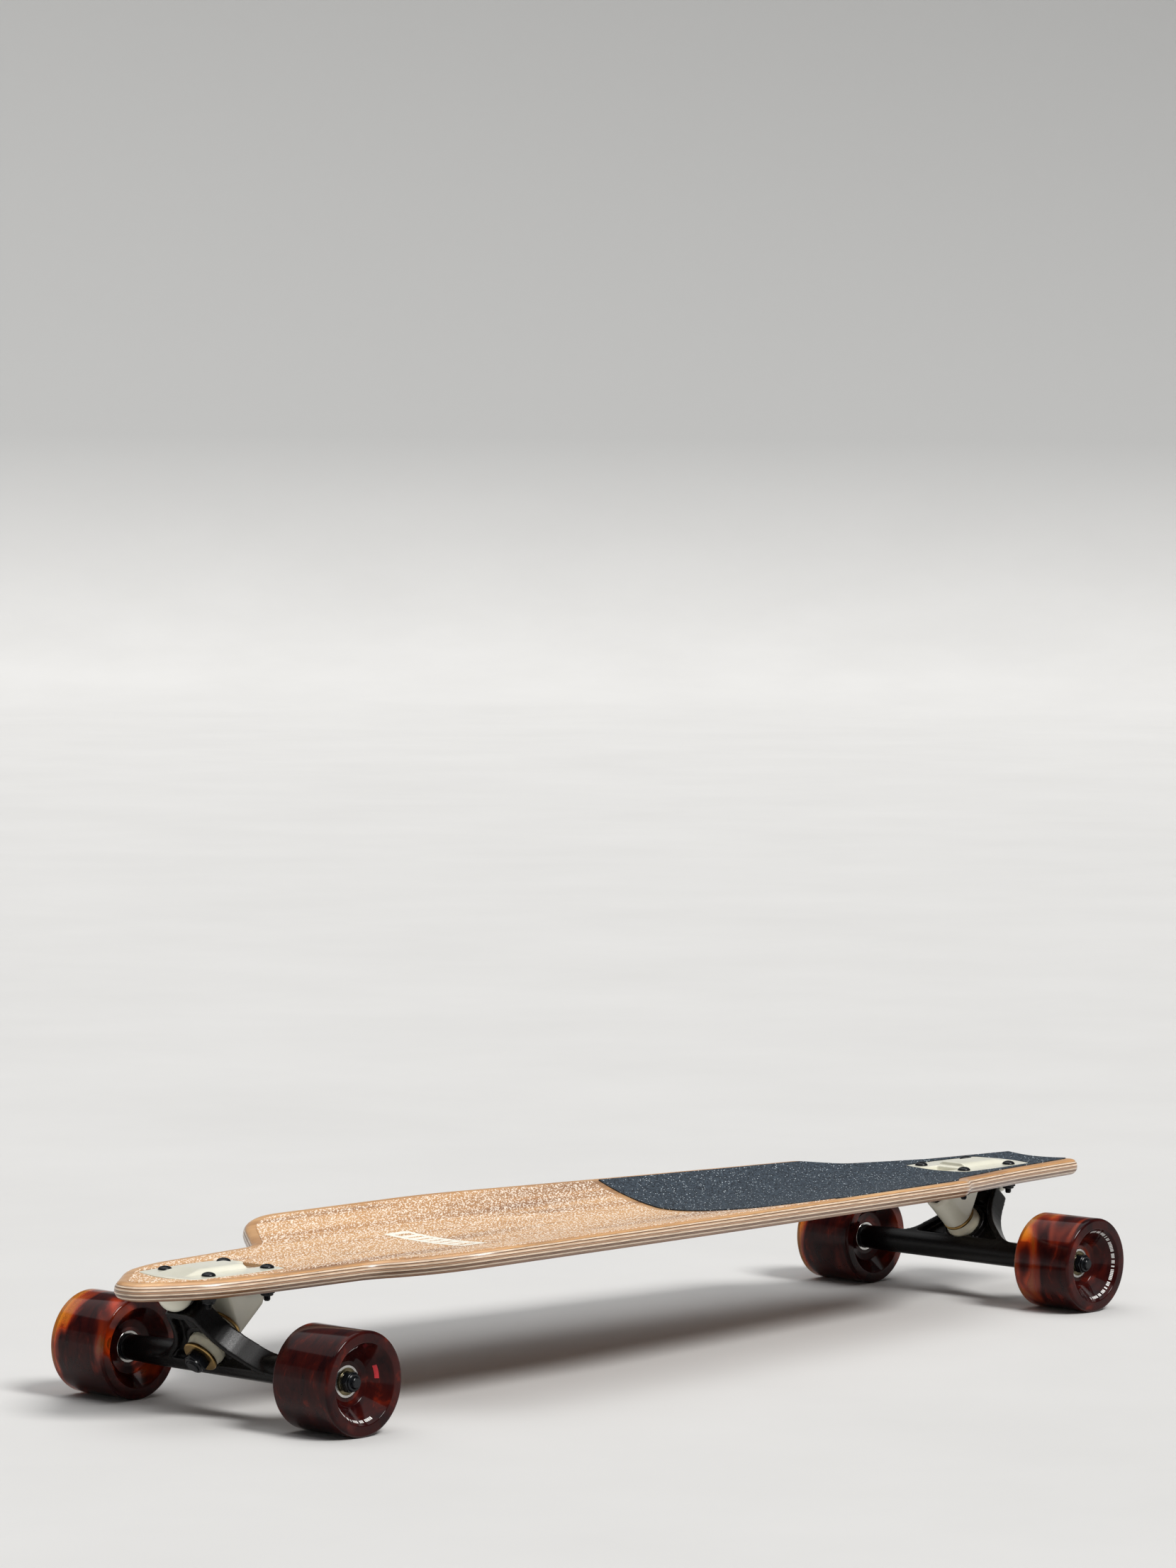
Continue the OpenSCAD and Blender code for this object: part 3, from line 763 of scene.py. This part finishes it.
def make_grips():
    """The clear grit on the nose's part of the deck and the dark tape on the tail's."""
    outline = thinned(inset(deck_outline(), GRIP_MARGIN), 0.6)
    for name, node, slot, thickness, area, operation in (
        ("nose_grit", "clear_grip", "clear_grit", GRIT, tape_area(GRIP_MARGIN), "DIFFERENCE"),
        ("tail_tape", "grip_tape", "grip_tape", TAPE, tape_area(), "INTERSECT"),
    ):
        rings = [(0.25, -thickness), (0.0, -thickness + 0.2), (0.0, 0.0)]
        piece = raw(name, slab(outline, rings))
        cut(piece, raw("tool", prism([tuple(p) for p in area], DECK_TOP - 10, DECK_TOP + 30)), operation)
        cut_trucks(piece, flange_outline(0.6), DECK_TOP - 20, DECK_TOP + 40)
        dress(piece, LOOKS[slot], "deck", (node,))


def make_deck_mark():
    """A plain slanted frame with plain rungs, painted across the nose half."""
    corners = [(-205.5, 37), (-182, 36.5), (-187.5, -45), (-210.5, -43.5)]
    middle = sum((Vector(p) for p in corners), Vector((0, 0))) / 4
    stroke_x, stroke_y, steps = 5.0, 6.0, 24
    low, high = -GRIT + 0.1, -GRIT - 0.1
    inner = []
    for p in corners:
        away = Vector(p) - middle
        inner.append(Vector(p) - Vector((math.copysign(stroke_x, away.x), math.copysign(stroke_y, away.y))))
    sections = []
    for i, p in enumerate(corners):
        j = (i + 1) % 4
        for k in range(steps):
            out = Vector(p).lerp(Vector(corners[j]), k / steps)
            within = inner[i].lerp(inner[j], k / steps)
            sections.append([deck_surface(out, low), deck_surface(out, high),
                             deck_surface(within, high), deck_surface(within, low)])
    shapes = [bar(sections, loop=True)]
    gaps = 7
    half_rung = Vector((0, 3.2))
    around = ((-1, low), (-1, high), (1, high), (1, low))
    for i in range(1, gaps):
        ends = inner[0].lerp(inner[3], i / gaps), inner[1].lerp(inner[2], i / gaps)
        shapes.append(bar([[deck_surface(p + side * half_rung, depth) for side, depth in around]
                           for p in ends]))
    make_piece("deck_mark", joined(*shapes), CREAM_PRINT, "deck")


# ---- Castings --------------------------------------------------------------------


def make_casting(name, node, body, slot, voxel):
    """The CAD casting with its edges rounded the way a mould and paint leave them."""
    piece = bpy.data.objects.new(name, frame["nodes"][node].data.copy())
    bpy.context.scene.collection.objects.link(piece)
    weld(piece, 1e-5)
    remesh = piece.modifiers.new("remesh", "REMESH")
    remesh.mode = "VOXEL"
    remesh.voxel_size = voxel * MM
    smooth = piece.modifiers.new("smooth", "SMOOTH")
    smooth.factor = 0.5
    smooth.iterations = 5
    apply_modifiers(piece)
    return dress(piece, LOOKS[slot], body, (node,), 70)


# ---- Hardware --------------------------------------------------------------------


def hex_nut(corner, height, bore, collar, collar_height):
    """A lock nut that stands on Z = 0: a chamfered hexagon and a round collar over it."""
    flat = corner * math.cos(math.pi / 6)
    chamfer = flat - 0.1

    def profile(angle):
        off = (angle % (math.pi / 3)) - math.pi / 6
        edge = flat / math.cos(off)
        drop = (edge - chamfer) * 0.5
        return [
            (bore, 0), (chamfer, 0), (edge, drop), (edge, height - drop), (chamfer, height),
            (collar + 0.3, height), (collar, height + 0.3), (collar, height + collar_height - 0.5),
            (collar - 0.5, height + collar_height), (bore + 0.4, height + collar_height),
            (bore, height + collar_height - 0.4),
        ]

    return turned(profile, 120)


def thread(radius, pitch, start, stop, depth=0.35):
    """A threaded rod with chamfered ends, as a helix of fine ridges."""
    rows = int((stop - start) / pitch * 6)

    def profile(angle):
        made = [(0, start)]
        for i in range(rows + 1):
            z = start + (stop - start) * i / rows
            phase = (z / pitch - angle / (2 * math.pi)) % 1
            ends = min(z - start, stop - z, 1.0)
            made.append((radius - depth * abs(2 * phase - 1) - 0.7 * (1 - ends), z))
        return made + [(0, stop)]

    return turned(profile, 48, ring=False)


def rod(radius, start, stop):
    """A plain round rod with chamfered ends."""
    chamfer = 0.3
    return turned([(0, start), (radius - chamfer, start), (radius, start + chamfer), (radius, stop - chamfer),
                   (radius - chamfer, stop), (0, stop)], 64, ring=False)


def washer(outer, inner, start, stop):
    """A flat washer with a chamfered rim."""
    chamfer = 0.15
    return turned([(inner, start), (outer - chamfer, start), (outer, start + chamfer),
                   (outer, stop - chamfer), (outer - chamfer, stop), (inner, stop)], 96)


BOLT_RADIUS = 2.4
BOLT_PITCH = 0.8
BOLT_LENGTH = 22


def bolt_places():
    """The four bolts' places in the truck's frame."""
    return [(PATTERN_X + a * BOLTS_LONG / 2, b * BOLTS_WIDE / 2) for a in (-1, 1) for b in (-1, 1)]


def bolt_head():
    """A domed head with a cross recess."""
    head_radius, height = 4.8, 2.65
    dome = [(0, height)]
    for i in range(1, 13):
        a = math.radians(7.5 * i)
        dome.append((head_radius * math.sin(a), 0.25 + (height - 0.25) * math.cos(a)))
    dome += [(head_radius, 0.0), (0, 0.0)]
    head = raw("head", turned(dome[::-1], 72, ring=False))
    for turn in (20, 110):
        arm = prism([(-2.2, -0.45), (2.2, -0.45), (2.2, 0.45), (-2.2, 0.45)], 1.3, 4.0)
        cut(head, raw("tool", arm, Matrix.Rotation(math.radians(turn), 4, "Z")))
    points = [v.co / MM for v in head.data.vertices]
    faces = [list(f.vertices) for f in head.data.polygons]
    bpy.data.objects.remove(head)
    return points, faces


def make_bolts(end, head):
    """A truck's four mounting bolts and their lock nuts."""
    shapes, nuts = [], []
    nut_top = corners_mm(f"{end}_mounting_nuts")[1].z
    for x, y in bolt_places():
        at = Matrix.Translation((x, y, FLANGE_TOP))
        shapes.append(moved(joined(head, thread(BOLT_RADIUS, BOLT_PITCH, -BOLT_LENGTH, 0.2, 0.28)), at))
        nuts.append(moved(hex_nut(5.4, 3.6, 2.42, 4.3, 1.6),
                          Matrix.Translation((x, y, nut_top)) @ Matrix.Rotation(math.pi, 4, "X")))
    place = at_truck(end)
    steel = LOOKS["black_steel"]
    make_piece(f"{end}_bolts", joined(*shapes), steel, "deck",
               (f"{end}_mounting_bolts",), place)
    make_piece(f"{end}_lock_nuts", joined(*nuts), steel, "deck",
               (f"{end}_mounting_nuts",), place)


# Along the kingpin, from the steering axis
EYE_SEAT = 2.1  # where a bushing sits in the hanger's eye
EYE_FACE = 5.5  # where it leaves the eye
WASHER_AT = 14.3  # a cup washer's inner face
BLOCK_AT = 15.4  # its outer face
WASHER_RIM = 2.3  # how far its rim reaches back over the bushing
KINGPIN_HEAD = -42
SHAFT_START, SHAFT_STOP = -36.2, 18

WASHER_RADIUS = 12.7
BUSHING_RADIUS = 12.9
KINGPIN_RADIUS = 4.75


def cup_washer(side):
    """A dished washer whose rolled rim wraps a bushing; side is -1 for the board side."""
    bore = KINGPIN_RADIUS + 0.2
    rim = BLOCK_AT - WASHER_RIM
    corners = [
        (bore, WASHER_AT, 0), (WASHER_RADIUS - 1.1, WASHER_AT, 0.7), (WASHER_RADIUS - 0.9, rim, 0.08),
        (WASHER_RADIUS - 0.1, rim, 0.3), (WASHER_RADIUS, BLOCK_AT, 1.1), (bore, BLOCK_AT, 0),
    ]
    return turned([(p.x, side * p.y) for p in rounded(corners, 5)], 120)


def bushing(side, waist):
    """A urethane bushing: a short barrel that tapers into its cup washer. Its bore widens towards the
    hanger's eye, to leave room to lean."""
    corners = [
        (KINGPIN_RADIUS + 1.5, EYE_SEAT, 0), (BUSHING_RADIUS, EYE_SEAT, 1.2),
        (BUSHING_RADIUS + 0.35, EYE_FACE + 1.8, 2.2), (waist, BLOCK_AT - WASHER_RIM - 0.4, 1.5),
        (WASHER_RADIUS - 1.6, WASHER_AT, 0.8), (KINGPIN_RADIUS + 0.3, WASHER_AT, 0),
        (KINGPIN_RADIUS + 2, (EYE_FACE + WASHER_AT) / 2, 4), (KINGPIN_RADIUS + 2.6, EYE_FACE, 1),
    ]
    return turned([(p.x, side * p.y) for p in rounded(corners, 6)], 120)


def make_kingpin(end):
    """A kingpin, its lock nut, both cup washers and both bushings."""
    place = down_kingpin(end)
    nut_height, collar = 6.0, 1.8
    stop = BLOCK_AT + nut_height + collar + 1.2
    head = moved(hex_nut(8.2, 6, 0.01, 5.6, 0.3), Matrix.Translation((0, 0, KINGPIN_HEAD)))
    shaft = rod(KINGPIN_RADIUS, SHAFT_START, SHAFT_STOP)
    make_piece(f"{end}_kingpin_bolt", joined(head, shaft, thread(KINGPIN_RADIUS, 1.1, SHAFT_STOP - 1, stop)),
               LOOKS["black_steel"], "deck", (f"{end}_kingpin",), place)
    nut = hex_nut(8.25, nut_height, KINGPIN_RADIUS, 6.7, collar)
    nut = moved(nut, Matrix.Translation((0, 0, BLOCK_AT)))
    make_piece(f"{end}_kingpin_lock_nut", nut, LOOKS["black_steel"], "deck",
               (f"{end}_kingpin_nut",), place)
    for which, side, waist in (("boardside", -1, 11.9), ("roadside", 1, 11.6)):
        make_piece(f"{end}_{which}_cup", cup_washer(side), LOOKS["brass"], "deck",
                   (f"{end}_{which}_cup_washer",), place)
        cushion = make_piece(f"{end}_{which}_cushion", bushing(side, waist), LOOKS["bushing_urethane"],
                             None, (f"{end}_{which}_bushing",), place)
        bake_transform(cushion)


# ---- Axles, bearings and wheels -----------------------------------------------------

AXLE_RADIUS = 3.97
BEARING_WIDTH = 7.0
SPACER = 10.0
INNER_BEARING = TUBE_END + 1.0
OUTER_BEARING = INNER_BEARING + BEARING_WIDTH + SPACER
NUT_SEAT = OUTER_BEARING + BEARING_WIDTH + 1.0
BEARING_RADIUS = 11.0


def make_axle(end):
    """An axle with its speed washers and lock nuts."""
    body = f"{end}_hanger"
    shapes, washers, nuts = [], [], []
    for side in SIDES:
        out = out_along_axle(end, side)
        shapes += [moved(rod(AXLE_RADIUS, 0, NUT_SEAT - 6), out),
                   moved(thread(AXLE_RADIUS, 1.0, NUT_SEAT - 7, AXLE_END), out)]
        for at in (TUBE_END, NUT_SEAT - 1.0):
            washers.append(moved(washer(6, AXLE_RADIUS, at, at + 1.0), out))
        nut = hex_nut(7.3, 4.6, AXLE_RADIUS, 5.9, 1.8)
        nuts.append(moved(nut, out @ Matrix.Translation((0, 0, NUT_SEAT))))
    for name, node, shape, slot in (
        ("axle_rod", "axle", shapes, "black_steel"),
        ("axle_washers", "speed_washers", washers, "steel"),
        ("axle_lock_nuts", "axle_nuts", nuts, "black_steel"),
    ):
        make_piece(f"{end}_{name}", joined(*shape), LOOKS[slot], body, (f"{end}_{node}",))


def ring_with_race(outer, inner, race_side, at):
    """A bearing ring with chamfers and a ball race on its inside or outside."""
    orbit, ball, c = 7.6, 2.03, 0.35
    low, high = 1.4, 5.6  # where the race begins and ends
    race = []
    for i in range(9):
        a = math.radians(-55 + 110 * i / 8)
        race.append((orbit + race_side * ball * math.cos(a), BEARING_WIDTH / 2 + ball * math.sin(a)))
    if race_side > 0:
        profile = [(outer - c, 0), (outer, c), (outer, BEARING_WIDTH - c), (outer - c, BEARING_WIDTH),
                   (inner, BEARING_WIDTH), (inner, high)] + race[::-1] + [(inner, low), (inner, 0)]
    else:
        top = [(outer, high), (outer, BEARING_WIDTH), (inner, BEARING_WIDTH)]
        profile = [(inner, 0), (outer, 0), (outer, low)] + race + top
    return turned([(r, z + at) for r, z in profile], 96)


def shields(at):
    """Both seals of a bearing, with a pressed step, between its rings."""
    c = [(6.4, 0.12, 0), (9.1, 0.12, 0), (9.1, 0.5, 0.1), (8.3, 0.5, 0.1), (8.1, 0.28, 0.1), (6.9, 0.28, 0.1),
         (6.7, 0.5, 0.1), (6.4, 0.5, 0)]
    low = [(p.x, at + 0.25 + 0.5 - p.y) for p in rounded(c, 3)]
    high = [(p.x, at + BEARING_WIDTH - 0.75 + p.y) for p in rounded(c, 3)]
    return joined(turned(low, 96), turned(high, 96))


def make_bearings(end):
    """A truck's four bearings, two in each wheel: their rings and their seals."""
    inner = []
    for side in SIDES:
        out = out_along_axle(end, side)
        wheel = f"{end}_{side}_wheel"
        outer = []
        for at in (INNER_BEARING, OUTER_BEARING):
            inner.append(moved(ring_with_race(6.05, AXLE_RADIUS, -1, at), out))
            outer.append(ring_with_race(BEARING_RADIUS, 9.15, 1, at))
        make_piece(f"{wheel}_outer_races", joined(*outer), LOOKS["steel"], wheel,
                   (f"{end}_{side}_bearing_outer_rings",), out)
        make_piece(f"{wheel}_inner_seals", shields(INNER_BEARING), LOOKS["bearing_seal"], wheel,
                   (f"{end}_{side}_bearing_shields",), out)
        make_piece(f"{wheel}_outer_seals", shields(OUTER_BEARING), SHIELD_METAL, wheel,
                   (), out)
    make_piece(f"{end}_inner_races", joined(*inner), LOOKS["steel"], f"{end}_hanger",
               (f"{end}_bearing_inner_rings",))


LIP = 2.2
BAND_INNER = 27.3
HUB = 13.4
CORE = 8.6
FACE_FOOT = OUTER_BEARING + BEARING_WIDTH + 2.0

# The print on a wheel's outer face: a badge and a ring of dashes; angles are in degrees
BADGE_ANGLE = {"front": 15, "rear": 180}
BADGE_HALF = 13
BADGE_RADII = (19.4, 21.2)
DASHES_START, DASHES_STOP = 85, 275  # on from the badge
DASH_RADII = (24.1, 25.5)


def wheel_profile():
    """Section of a wheel as (radius, distance from the board's centre line)."""
    seat = BEARING_RADIUS
    corners = [
        (WHEEL_RADIUS, WHEEL_INNER, LIP), (BAND_INNER, WHEEL_INNER, 1.0), (HUB + 5, INNER_BEARING - 1, 2.5),
        (HUB, INNER_BEARING, 0.5), (seat, INNER_BEARING, 0), (seat, INNER_BEARING + BEARING_WIDTH, 0),
        (CORE, INNER_BEARING + BEARING_WIDTH, 0), (CORE, OUTER_BEARING, 0), (seat, OUTER_BEARING, 0),
        (seat, OUTER_BEARING + BEARING_WIDTH, 0), (HUB, OUTER_BEARING + BEARING_WIDTH, 0.5),
        (HUB + 3, FACE_FOOT, 2.0), (BAND_INNER, WHEEL_OUTER, 1.0), (WHEEL_RADIUS, WHEEL_OUTER, LIP),
    ]
    return [(p.x, p.y) for p in rounded(corners, 10)]


def on_outer_face(radius, angle, proud):
    """A point on the cone of a wheel's outer face."""
    share = (radius - HUB - 3) / (BAND_INNER - HUB - 3)
    height = FACE_FOOT + share * (WHEEL_OUTER - FACE_FOOT)
    return radius * math.cos(angle), radius * math.sin(angle), height + proud


def face_patch(r_low, r_high, start, stop, steps):
    """A thin printed patch on the outer face; angles are in degrees."""
    sections = []
    for i in range(steps + 1):
        angle = math.radians(start + (stop - start) * i / steps)
        sections.append([on_outer_face(r_low, angle, -0.1), on_outer_face(r_low, angle, 0.08),
                         on_outer_face(r_high, angle, 0.08), on_outer_face(r_high, angle, -0.1)])
    return bar(sections)


def make_wheels(end):
    """A truck's two wheels and their print."""
    for number, side in enumerate(SIDES):
        wheel = f"{end}_{side}_wheel"
        out = out_along_axle(end, side)
        make_piece(f"{wheel}_tyre", turned(wheel_profile(), 192), LOOKS["wheel_urethane"], wheel,
                   (wheel,), out, 50)
        dashes = []
        random = Random(7 + number)
        badge = BADGE_ANGLE[end]
        angle = badge + DASHES_START
        while angle < badge + DASHES_STOP:
            width = random.uniform(1.4, 2.8)
            dashes.append(face_patch(*DASH_RADII, angle, angle + width, 2))
            angle += width + random.choice((0.9, 0.9, 0.9, 4.0))
        make_piece(f"{wheel}_dashes", joined(*dashes), WHITE_PRINT, wheel, (), out)
        patch = face_patch(*BADGE_RADII, badge - BADGE_HALF, badge + BADGE_HALF, 8)
        make_piece(f"{wheel}_badge", patch, RED_PRINT, wheel, (), out)


# ---- The whole board --------------------------------------------------------------------


def dress_kept_nodes():
    """Materials for the CAD nodes that stay as they are."""
    slots = {part["node"]: part["material_slot"] for part in frame["record"]["subparts"]}
    for name, node in frame["nodes"].items():
        node.data.materials.clear()
        node.data.materials.append(LOOKS[slots[name]])


def make_board():
    """Every piece of the board."""
    dress_kept_nodes()
    make_deck()
    make_grips()
    make_deck_mark()
    head = bolt_head()
    for end in ENDS:
        make_casting(f"{end}_baseplate_cast", f"{end}_baseplate", "deck", "cream_paint", 0.7)
        make_casting(f"{end}_hanger_cast", f"{end}_hanger", f"{end}_hanger", "black_cast", 0.8)
        make_bolts(end, head)
        make_kingpin(end)
        make_axle(end)
        make_bearings(end)
        make_wheels(end)


# ---- Studio ---------------------------------------------------------------------------------


def make_floor():
    """A pale floor that curves up into a wall far from the board, all the way round."""
    flat, bend, wall = 9000.0, 3000.0, 4000.0
    profile = [(0, 0), (flat / 2, 0), (flat, 0)]
    for i in range(1, 17):
        a = math.radians(90 * i / 16)
        profile.append((flat + bend * math.sin(a), bend * (1 - math.cos(a))))
    profile.append((flat + bend, wall))
    points, faces = turned(profile, 96, ring=False)
    mesh = bpy.data.meshes.new("floor")
    mesh.from_pydata([Vector(p) * MM for p in points], [], faces)
    floor = bpy.data.objects.new("floor", mesh)
    bpy.context.scene.collection.objects.link(floor)
    mesh.shade_smooth()
    look = Look("floor", Roughness=0.65, Specular_IOR_Level=0.3)
    cloud = look.ramp(look.noise(3, 4, 0.6), (0.3, (0.60, 0.595, 0.585)), (0.7, (0.63, 0.625, 0.615)))
    height = look.add("SeparateXYZ", Vector=look.place).outputs["Z"]
    # Painted shade: the sweep turns darker from 5 cm to 60 cm up, so the wall comes out dimmer than the floor
    look.set(Base_Color=look.mix(look.ramp(height, (0.05, 0.0), (0.6, 1.0)), cloud, (0.38, 0.38, 0.376)))
    mesh.materials.append(look.material)


def make_sun(name, travel, angle, strength, colour=(1, 1, 1)):
    """A lamp far away, whose light travels in one direction and spreads over an angle in degrees."""
    light = bpy.data.lights.new(name, "SUN")
    light.angle = math.radians(angle)
    light.energy = strength
    light.color = colour
    lamp = bpy.data.objects.new(name, light)
    lamp.rotation_mode = "QUATERNION"
    lamp.rotation_quaternion = Vector(travel).to_track_quat("-Z", "Y")
    bpy.context.scene.collection.objects.link(lamp)


def make_studio():
    """The floor, a dim sky and three soft lamps."""
    make_floor()
    world = bpy.data.worlds.new("studio")
    world.use_nodes = True
    world.node_tree.nodes["Background"].inputs["Color"].default_value = (0.95, 0.97, 1.0, 1)
    world.node_tree.nodes["Background"].inputs["Strength"].default_value = 0.1
    bpy.context.scene.world = world
    make_sun("window", (0, 0.663, -0.749), 20, 2.8, (1.0, 0.99, 0.975))
    make_sun("ceiling", (0, 0.09, -1), 70, 1.2)
    make_sun("back_fill", (0, -0.42, -0.91), 60, 0.55)
    bpy.context.scene.view_settings.view_transform = "Standard"


CAMERA_AT = (-3.14898, -2.83434, 0.66542)  # metres
CAMERA_LENS = 137.77  # mm, on a sensor 36 mm wide
CAMERA_TURN = (42.3547, -3.5522, 0.4604)  # yaw, pitch and roll in degrees


def make_camera():
    """The photograph's viewpoint: low, from the nose and the left side, through a long lens."""
    camera = bpy.data.cameras.new("camera")
    camera.sensor_width = 36
    camera.lens = CAMERA_LENS
    camera.clip_start, camera.clip_end = 0.1, 60
    seen = bpy.data.objects.new("camera", camera)
    yaw, pitch, roll = (math.radians(angle) for angle in CAMERA_TURN)
    ahead = Matrix.Rotation(yaw - math.pi / 2, 4, "Z") @ Matrix.Rotation(math.pi / 2 + pitch, 4, "X")
    seen.matrix_world = Matrix.Translation(CAMERA_AT) @ ahead @ Matrix.Rotation(roll, 4, "Z")
    bpy.context.scene.collection.objects.link(seen)
    bpy.context.scene.camera = seen


make_camera()
make_board()
make_studio()
